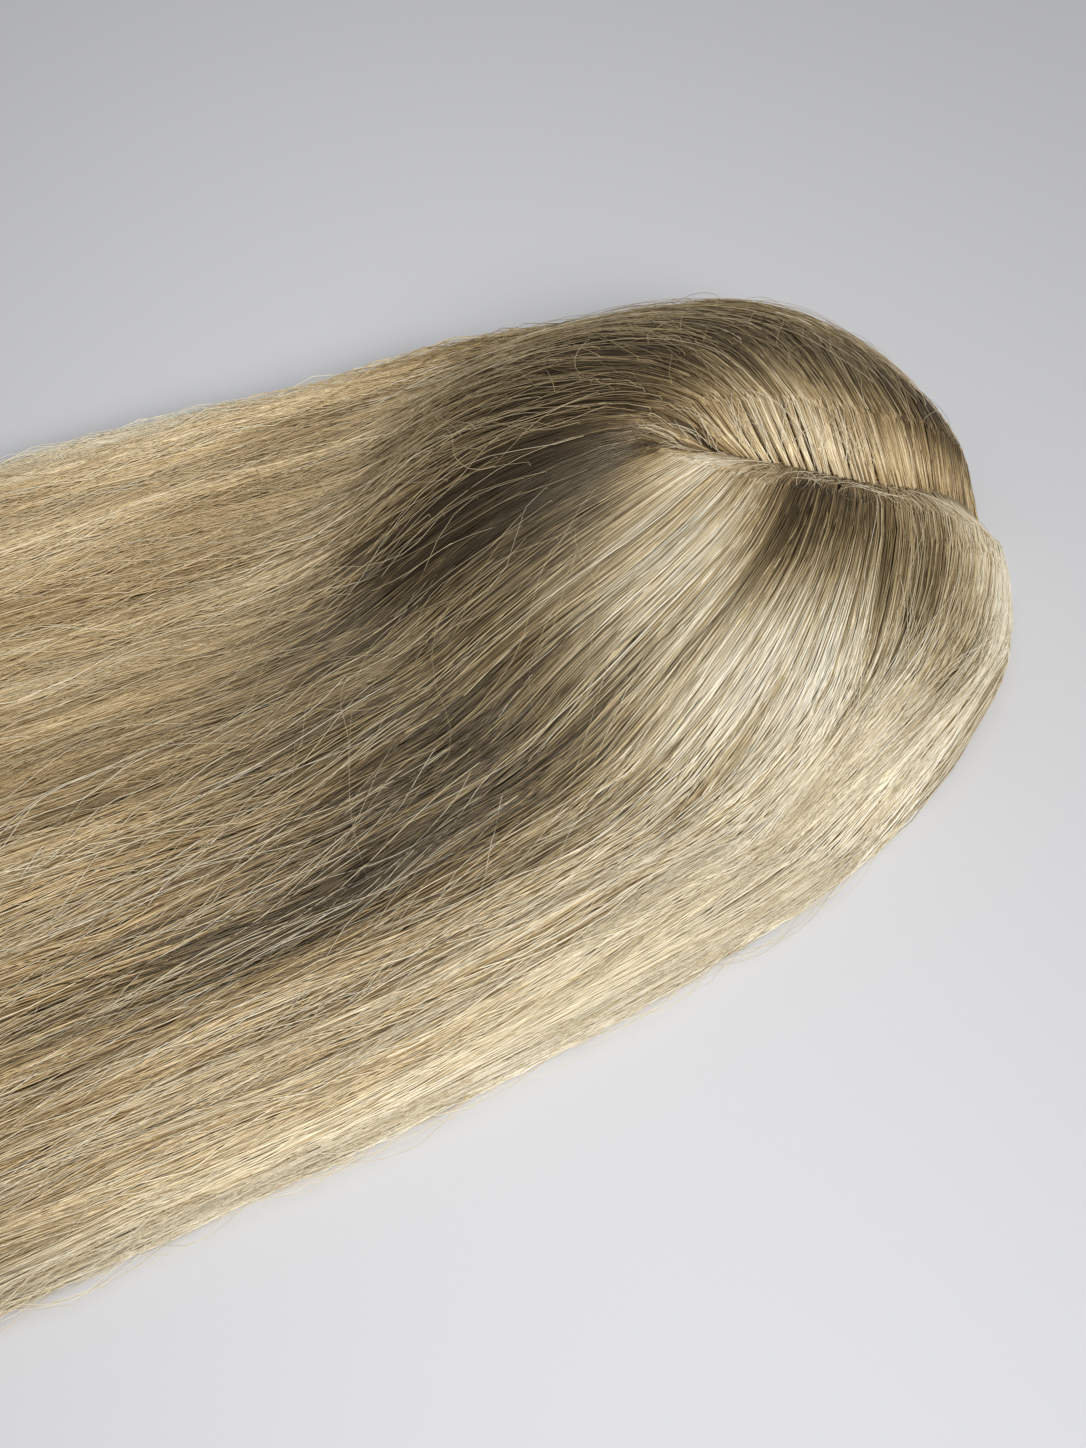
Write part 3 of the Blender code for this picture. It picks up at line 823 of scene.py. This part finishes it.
def warmth_along(across, run):
    """Warm at the roots, ash over the dome and gold along the lengths, less so at the outer edges."""
    at_root = NEAR_ROOT_WARMTH + (FAR_ROOT_WARMTH - NEAR_ROOT_WARMTH) * risen(ROOT_WARMTH_ACROSS, across)
    at_dome = DOME_WARMTH + CROWN_WARMTH * np.exp(-(((across - CROWN_MIDDLE) / CROWN_WIDTH) ** 2))
    rooted = np.exp(-((run / ROOT_WARMTH_REACH) ** 2))
    gold = risen(LENGTH_WARMTH_ALONG, run) * (1 - NEAR_ASH * risen(NEAR_ASH_ACROSS, across))
    gold = gold * (1 - FAR_ASH * risen(FAR_ASH_ACROSS, across))
    return at_dome + (at_root - at_dome) * rooted + (LENGTH_WARMTH - at_dome) * gold


def tufted(across, run):
    """How much the hair stands in tufts: only near the roots, and less on the near side."""
    far = risen(FAR_TUFTS_BEGIN, across) * risen(FAR_TUFTS_END, across)
    near = NEAR_TUFTS * risen(NEAR_TUFTS_BEGIN, across) * risen(NEAR_TUFTS_END, across)
    return np.exp(-((run / TUFT_REACH) ** 2)) * (far + near)


def edge_freedom(across):
    """How freely strands wander sideways: fully in the middle, and little along the outer edges."""
    inside = ease(across / EDGE_WIDTH) * ease((LAST_GUIDE - across) / EDGE_WIDTH)
    return EDGE_FREEDOM + (1 - EDGE_FREEDOM) * inside


def stations_along(across, count, advance):
    """Stations of combed strands as shares of their lengths and as runs. advance: latest start of a root."""
    share = np.linspace(0, 1, STRAND_STATIONS) ** ROOT_CROWDING
    full = HAIR_LENGTH - STRAND_NOTCH * (1 - lock_fullness(across))
    reach = full * (1 - LAYERING * chance.random(count) ** LAYERING_BIAS)
    return share, chance.uniform(-ROOT_SCATTER, advance, (count, 1)) + reach[:, None] * share


def drawn_to_tufts(across, place, run):
    """Places of strands gathered into tufts at their roots, and how far the tufts lean sideways."""
    tuft = np.abs(across[:, None] - tufts[None]).argmin(axis=1)[:, None]
    looseness = chance.uniform(LOOSEST_IN_TUFT, 1, (len(across), 1))
    gathered = looseness * TUFT_GATHER * tufted(across[:, None], run)
    leaning = tuft_leans[tuft] * tufted(across[:, None], run - TUFT_BEND)
    return np.clip(tufts[tuft] * gathered + place * (1 - gathered), 0, LAST_GUIDE), leaning


def own_sway(layer, place, run):
    """Sideways sway of each strand by itself, more of it past the dome and over the far crown."""
    sway = wave(run, len(run), LONG_WAVE, layer.sway)
    sway = sway + wave(run, len(run), SHORT_WAVE, SHORT_SWAY * layer.sway)
    mussed = NEAR_MUSSED + (FAR_MUSSED - NEAR_MUSSED) * risen(NEAR_TO_FAR, place)
    crown = CROWN_MUSSED * risen(CROWN_ALONG, run) * risen(CROWN_ACROSS, place)
    return sway * (1 + mussed * risen(PAST_DOME, run) + crown)


def combed_tone(layer, clump, clumps, place, run):
    """Tone along each strand: that of its layer, clump and own, with the painted light and shade and the
    darker roots of the place.
    """
    own = chance.normal(0, CLUMP_TONE, clumps)[clump] + chance.normal(0, layer.spread, len(clump))
    picked = chance.random(len(clump))
    own = own + DARK_PICK.amount * (picked < DARK_PICK.share)
    own = own + LIGHT_PICK.amount * (picked > 1 - LIGHT_PICK.share)
    calm = 1 - LENGTH_CALM * risen(LENGTH_CALM_ALONG, run) * risen(LENGTH_CALM_ACROSS, place)
    calm = calm * (1 - ROOT_CALM * risen(ROOT_CALM_ALONG, run)) * (1 - TIP_CALM * risen(TIP_CALM_ALONG, run))
    tone = layer.tone + own[:, None] * calm + shade(place, run) + tone_drift.at(place, run)
    return np.clip(tone, DARKEST, 1)


def tapered(share, size, sizes):
    """Radii along each strand, thinner towards the tip. sizes: range of the strands' own thickness."""
    thick = STRAND_RADIUS * size * chance.uniform(*sizes, (len(share), 1))
    return thick * (1 - THINNED_AT_TIP * risen(THINNING, share))


def comb_strands(layer, first, last, count):
    """One layer of strands between two guides: paths, radii, tones, warmths and shares of length."""
    clumps = max(LEAST_CLUMPS, int(CLUMPS_PER_METRE * flow.widths()[first:last].sum()))
    middles = np.sort(spaced_across(first, last, clumps))
    across = spaced_across(first, last, count)
    clump = np.abs(across[:, None] - middles[None]).argmin(axis=1)
    share, run = stations_along(across, count, ROOT_ADVANCE)
    pulled = layer.pull * risen(CLUMPING, run)
    place = middles[clump][:, None] * pulled + across[:, None] * (1 - pulled)
    place, leaning = drawn_to_tufts(across, place, run)
    grown = risen(SWAY_GROWN, run)
    sway = (own_sway(layer, place, run) + sideways_drift.at(place, run)) * grown * edge_freedom(place)
    lift = chance.normal(0, CLUMP_LIFT, clumps)[clump][:, None] + height_drift.at(place, run)
    off = chance.uniform(layer.low, layer.high, (count, 1)) + lift * grown
    paths = laid(place, run, sway + leaning, off)
    tone = combed_tone(layer, clump, clumps, place, run)
    own_warmth = chance.normal(0, CLUMP_WARMTH, clumps)[clump] + chance.normal(0, OWN_WARMTH, count)
    warmth = np.clip(warmth_along(place, run) + own_warmth[:, None], 0, 1)
    share = share * np.ones((count, 1))
    return paths, tapered(share, layer.thickness, STRAND_SIZES), tone, warmth, share


def rim_strands(across, outward, count):
    """Strands that wrap the side of the form below its outermost guide, one level over the other."""
    level = (np.arange(count) + chance.random(count))[:, None] / count
    share, run = stations_along(across, count, 0)
    place = across * np.ones_like(run)
    shift = chance.uniform(*RIM_SCATTER, (count, 1)) + wave(run, count, RIM_LONG_WAVE, RIM_LONG_SWAY)
    shift = outward * shift + wave(run, count, RIM_SHORT_WAVE, RIM_SHORT_SWAY) * risen(PAST_DOME, run)
    shift = shift + sideways_drift.at(place, run) * edge_freedom(place)
    grown = risen(RIM_GROWN, run)
    level = np.clip(level + wave(run, count, RIM_LEVEL_WAVE, RIM_LEVEL_SWAY) * grown, RIM_LOWEST, 1)
    paths = laid(place, run, shift * grown, np.zeros_like(run), level)
    # The painted light and shade of the place, as on the combed strands
    tone = RIM_TONE + chance.normal(0, RIM_TONE_SPREAD, (count, 1)) + shade(place, run)
    tone = np.clip(tone + tone_drift.at(place, run), DARKEST, 1)
    warmth = np.clip(warmth_along(place, run) + chance.normal(0, RIM_WARMTH_SPREAD, (count, 1)), 0, 1)
    share = share * np.ones((count, 1))
    return paths, tapered(share, 1, RIM_SIZES), tone, warmth, share


# Groups of loose hairs that cross the flow. Ranges: place across, run where a hair begins, its length, how
# many guides it crosses and its most height over the form. Height and own sideways sway are in millimetres.
Loose = namedtuple("Loose", "name count across begin reach thickness tone slip lift sway")
LOOSE_HAIRS = (
    Loose("far", 330, (4.0, 12.6), (0.09, 0.36), (0.03, 0.08), 0.60, 0.84, (-0.7, 0.7), (0.3, 1.2), 3.4),
    Loose("near", 230, (1.0, 6.0), (0.08, 0.34), (0.04, 0.10), 0.54, 0.84, (-0.9, 0.2), (0.3, 1.0), 2.2),
    Loose("valley", 90, (1.2, 4.8), (0.06, 0.18), (0.12, 0.24), 0.54, 0.86, (-1.7, -0.4), (0.2, 1.0), 1.6),
    Loose("crown", 60, (4.4, 8.4), (0.02, 0.13), (0.05, 0.16), 0.45, 0.68, (-1.8, 1.8), (0.4, 2.4), 4.2),
    Loose("dome", 110, (7.2, 12.9), (0.004, 0.07), (0.04, 0.12), 0.50, 0.58, (-1.3, 1.3), (0.5, 2.2), 3.0),
    Loose("short", 110, (7.6, 12.9), (0.010, 0.12), (0.014, 0.040), 0.42, 0.58, (-0.9, 0.9), (0.8, 3.6), 2.2),
    Loose("curls", 36, (4.8, 8.2), (0.02, 0.12), (0.05, 0.12), 0.40, 0.72, (-1.6, 1.6), (0.6, 4.0), 10.0),
    Loose("near_dome", 90, (0.0, 2.2), (0.004, 0.12), (0.04, 0.14), 0.45, 0.88, (-0.7, 0.5), (0.4, 2.4), 2.4),
    Loose("near_edge", 190, (0.0, 0.4), (0.10, 0.34), (0.05, 0.14), 0.46, 0.84, (-0.2, 0.1), (0.1, 0.8), 6.0),
    Loose("slope", 80, (0.4, 4.0), (0.05, 0.22), (0.04, 0.11), 0.50, 0.96, (-0.4, 0.3), (0.2, 0.9), 2.2),
    Loose("part", 120, (1.2, 11.0), (-0.001, 0.002), (0.006, 0.018), 0.52, 0.84, (-1, 1), (0.6, 2.4), 1.2),
    Loose("far_edge", 60, (12.4, 13.0), (0.10, 0.30), (0.06, 0.16), 0.45, 0.68, (-0.3, 0.3), (0.1, 0.6), 4.4),
)
MILLIMETRE = 0.001
LOOSE_STATIONS = 16
LOOSE_TURNING = (0.8, 1.6)
LOOSE_BOW = 0.7
LOOSE_LEAST_LIFT = 0.0002
LOOSE_LONG_WAVE = 0.11
LOOSE_SHORT_WAVE = 0.05
LOOSE_SHORT_SWAY = 0.3
LOOSE_TONE_SPREAD = 0.08
LOOSE_DARKEST = 0.05
LOOSE_WARMTH = 0.50
LOOSE_WARMTH_SPREAD = 0.12
LOOSE_SIZES = (0.8, 1.2)
LOOSE_THINNED = 0.6


def loose_strands(group):
    """One group of loose hairs: paths, radii, tones, warmths and shares of length."""
    each = (group.count, 1)
    across = chance.uniform(*group.across, each)
    begin = chance.uniform(*group.begin, each)
    share = np.linspace(0, 1, LOOSE_STATIONS)
    run = np.minimum(begin + chance.uniform(*group.reach, each) * share, HAIR_LENGTH)
    slipped = chance.uniform(*group.slip, each) * share ** chance.uniform(*LOOSE_TURNING, each)
    place = np.clip(across + slipped, 0, LAST_GUIDE)
    bow = np.sin(np.pi * share) ** LOOSE_BOW
    off = LOOSE_LEAST_LIFT + chance.uniform(*group.lift, each) * MILLIMETRE * bow
    most = group.sway * MILLIMETRE
    sway = wave(run, group.count, LOOSE_LONG_WAVE, most)
    sway = sway + wave(run, group.count, LOOSE_SHORT_WAVE, LOOSE_SHORT_SWAY * most)
    paths = laid(place, run, sway * bow, off)
    share = share * np.ones(each)
    tone = np.clip(chance.normal(group.tone, LOOSE_TONE_SPREAD, each), LOOSE_DARKEST, 1)
    warmth = np.clip(chance.normal(LOOSE_WARMTH, LOOSE_WARMTH_SPREAD, each), 0, 1)
    radius = STRAND_RADIUS * group.thickness * chance.uniform(*LOOSE_SIZES, each)
    steady = np.ones_like(share)
    return paths, radius * (1 - LOOSE_THINNED * share**4), tone * steady, warmth * steady, share


def joined(groups):
    """Arrays of several groups of strands, each kind in one."""
    return [np.concatenate(parts) for parts in zip(*groups)]


def add_loose(material):
    mesh = strand_mesh("stray_strands", *joined([loose_strands(group) for group in LOOSE_HAIRS]))
    add_piece("stray_strands", mesh, material)


def add_strands(fall, first, last, count, material):
    """The combed strands of one fall, shared at random among meshes of a fair size."""
    layers = [comb_strands(layer, first, last, int(count * layer.share)) for layer in LAYERS]
    if first == 0:
        layers.append(rim_strands(0.0, 1, RIM_STRANDS))
    if last == LAST_GUIDE:
        layers.append(rim_strands(float(LAST_GUIDE), -1, RIM_STRANDS))
    strands = joined(layers)
    order = chance.permutation(len(strands[0]))
    pieces = math.ceil(len(order) / MOST_IN_PIECE)
    for number, chosen in enumerate(np.array_split(order, pieces), 1):
        name = f"{fall}_strands_{number}"
        add_piece(name, strand_mesh(name, *(values[chosen] for values in strands)), material)


# The imported hair: inset from the outermost guides, how finely it is divided, its length, its least thickness
# and how it thins out at its end, how deep it lies under the top of the hair, and its tone: painted darker
# than the strands as painted shade under them, with a share of their painted light and shade, and painted
# shade between the root tufts
BED_INSET = 0.10
BED_COLUMNS_PER_GUIDE = 14
BED_ROWS = 64
BED_CROWDING = 1.3
BED_START = 0.0005
BED_LENGTH = 0.87
BED_NOTCH = 0.015
BED_FLOOR = 0.0002
BED_LEAST = 0.0005
BED_DEPTH = 0.0019
BED_END = 0.06
BED_THINNING = Ramp(1.0, -0.25)
BED_TONE = 0.42
BED_SHADING = 0.75
BED_TUFT_SHADE = 0.4


def closed_quads(rows, columns):
    """Faces of a closed body: a grid on top, the same grid below, and walls between their rims."""
    grid = np.arange(rows * columns).reshape(rows, columns)
    below = grid.size
    upper = np.stack([grid[1:, :-1], grid[1:, 1:], grid[:-1, 1:], grid[:-1, :-1]], axis=-1).reshape(-1, 4)
    rim = np.concatenate([grid[0], grid[1:, -1], grid[-1, -2::-1], grid[-2:0:-1, 0]])
    after = np.roll(rim, -1)
    walls = np.stack([after, after + below, rim + below, rim], axis=-1)
    return np.concatenate([upper, upper[:, ::-1] + below, walls])


def bed_mesh(name, first, last):
    """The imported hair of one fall, a closed body just under its strands."""
    across = np.linspace(first, last, int((last - first) * BED_COLUMNS_PER_GUIDE) + 1)
    across = np.clip(across, BED_INSET, LAST_GUIDE - BED_INSET)
    share = np.linspace(0, 1, BED_ROWS) ** BED_CROWDING
    reach = (HAIR_LENGTH - BED_NOTCH * (1 - lock_fullness(across))) * BED_LENGTH
    run = BED_START + reach[:, None] * share
    place = across[:, None] * np.ones_like(run)
    plan = flow.plan(place, run)
    x, y = plan[..., 0], plan[..., 1]
    cap = cap_height(x, y)
    floor = np.where(cap > 0, cap + CAP_GAP, BED_FLOOR)
    full = np.maximum(hair_height(place, run, x, y) - BED_DEPTH, floor + BED_LEAST)
    top = floor + (full - floor) * (BED_END + (1 - BED_END) * risen(BED_THINNING, share))
    points = np.concatenate([np.stack([x, y, z], axis=-1).reshape(-1, 3) for z in (top, floor)])
    mesh = mesh_from_arrays(name, points, closed_quads(*x.shape), np.empty((0, 3), int))
    on_flow = np.stack([place, run, np.zeros_like(run)], axis=-1).reshape(-1, 3)
    # Painted shade: darker than the strands, darker still between the root tufts, with the painted light and
    # shade of the place
    tone = BED_TONE + BED_SHADING * shade(place, run) - BED_TUFT_SHADE * tufted(place, run)
    point_attribute(mesh, "flow", np.concatenate([on_flow, on_flow]))
    point_attribute(mesh, "tone", np.tile(np.clip(tone, DARKEST, 1).ravel(), 2))
    return mesh


def add_hair():
    """Loose hairs, then a bed and strands in place of the solid of each fall."""
    strands = strand_finish()
    add_loose(strands)
    under = bed_finish()
    names = [guide.fall for guide in GUIDES]
    widths = flow.widths()
    for fall in ("hair_right", "hair_back", "hair_left"):
        first = names.index(fall)
        last = min(first + names.count(fall), LAST_GUIDE)
        add_piece(f"{fall}_bed", bed_mesh(f"{fall}_bed", first, last), under, (fall,))
        add_strands(fall, first, last, int(STRANDS * widths[first:last].sum() / widths.sum()), strands)


def dress_nodes():
    """The cap and the clips keep their solids and get their finishes."""
    cloth = cap_finish()
    lacquer = clip_finish()
    for node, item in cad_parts.items():
        if node == "cap_base":
            item.data.materials.clear()
            item.data.materials.append(cloth)
        elif node.startswith("clip_"):
            item.data.materials.clear()
            item.data.materials.append(lacquer)


# The camera looks at a place behind and beside the cap's middle, so the ends of the hair are out of view
CAMERA_AIM = (-0.067, -0.054, 0)
CAMERA_AZIMUTH = -9.6
CAMERA_ELEVATION = 50
CAMERA_DISTANCE = 0.544
LENS = 50
SENSOR = 36

# Round soft lights: angles in degrees, distance and size in metres, power in watts, aim from the cap's middle
Light = namedtuple("Light", "name azimuth elevation distance size power colour aim spread")
LIGHTS = (
    Light("key", 22, 38, 2.00, 1.05, 21.5, (1.0, 0.99, 0.965), (-0.02, -0.09, 0.02), 150),
    Light("top", 20, 75, 1.30, 1.20, 5.3, (0.96, 0.975, 1.0), (-0.05, 0, 0), 180),
)
ROOM_LIGHT = 0.315
ROOM_COLOUR = (0.97, 0.98, 1.0, 1)
FLOOR_HALF = 3.0


def add_aimed(name, data, aim, azimuth, elevation, distance):
    """A camera or a light that looks at a place from a distance, at these angles."""
    item = bpy.data.objects.new(name, data)
    bpy.context.collection.objects.link(item)
    turn, rise = math.radians(azimuth), math.radians(elevation)
    away = Vector((math.sin(turn) * math.cos(rise), -math.cos(turn) * math.cos(rise), math.sin(rise)))
    item.location = Vector(cap_middle + aim) + distance * away
    item.rotation_euler = away.to_track_quat("Z", "Y").to_euler()
    return item


def add_camera():
    data = bpy.data.cameras.new("camera")
    data.lens = LENS
    data.sensor_width = SENSOR
    data.dof.use_dof = False
    camera = add_aimed("camera", data, CAMERA_AIM, CAMERA_AZIMUTH, CAMERA_ELEVATION, CAMERA_DISTANCE)
    bpy.context.scene.camera = camera


def add_light(light):
    data = bpy.data.lights.new(light.name, "AREA")
    data.shape = "DISK"
    data.size = light.size
    data.energy = light.power
    data.color = light.colour
    data.spread = math.radians(light.spread)
    add_aimed(light.name, data, light.aim, light.azimuth, light.elevation, light.distance)


def add_floor():
    mesh = bpy.data.meshes.new("floor")
    corners = [(x * FLOOR_HALF, y * FLOOR_HALF, 0) for x, y in ((-1, -1), (1, -1), (1, 1), (-1, 1))]
    mesh.from_pydata(corners, [], [(0, 1, 2, 3)])
    mesh.materials.append(floor_finish())
    floor = bpy.data.objects.new("floor", mesh)
    bpy.context.collection.objects.link(floor)


def add_room_light():
    world = bpy.data.worlds.new("studio")
    bpy.context.scene.world = world
    world.use_nodes = True
    background = world.node_tree.nodes["Background"]
    background.inputs["Color"].default_value = ROOM_COLOUR
    background.inputs["Strength"].default_value = ROOM_LIGHT


def add_studio():
    """Pale floor with a painted pool of light, soft light, and plain colours as the lights make them."""
    add_floor()
    for light in LIGHTS:
        add_light(light)
    add_room_light()
    bpy.context.scene.view_settings.view_transform = "Standard"
    bpy.context.scene.view_settings.look = "None"


add_hair()
dress_nodes()
add_camera()
add_studio()
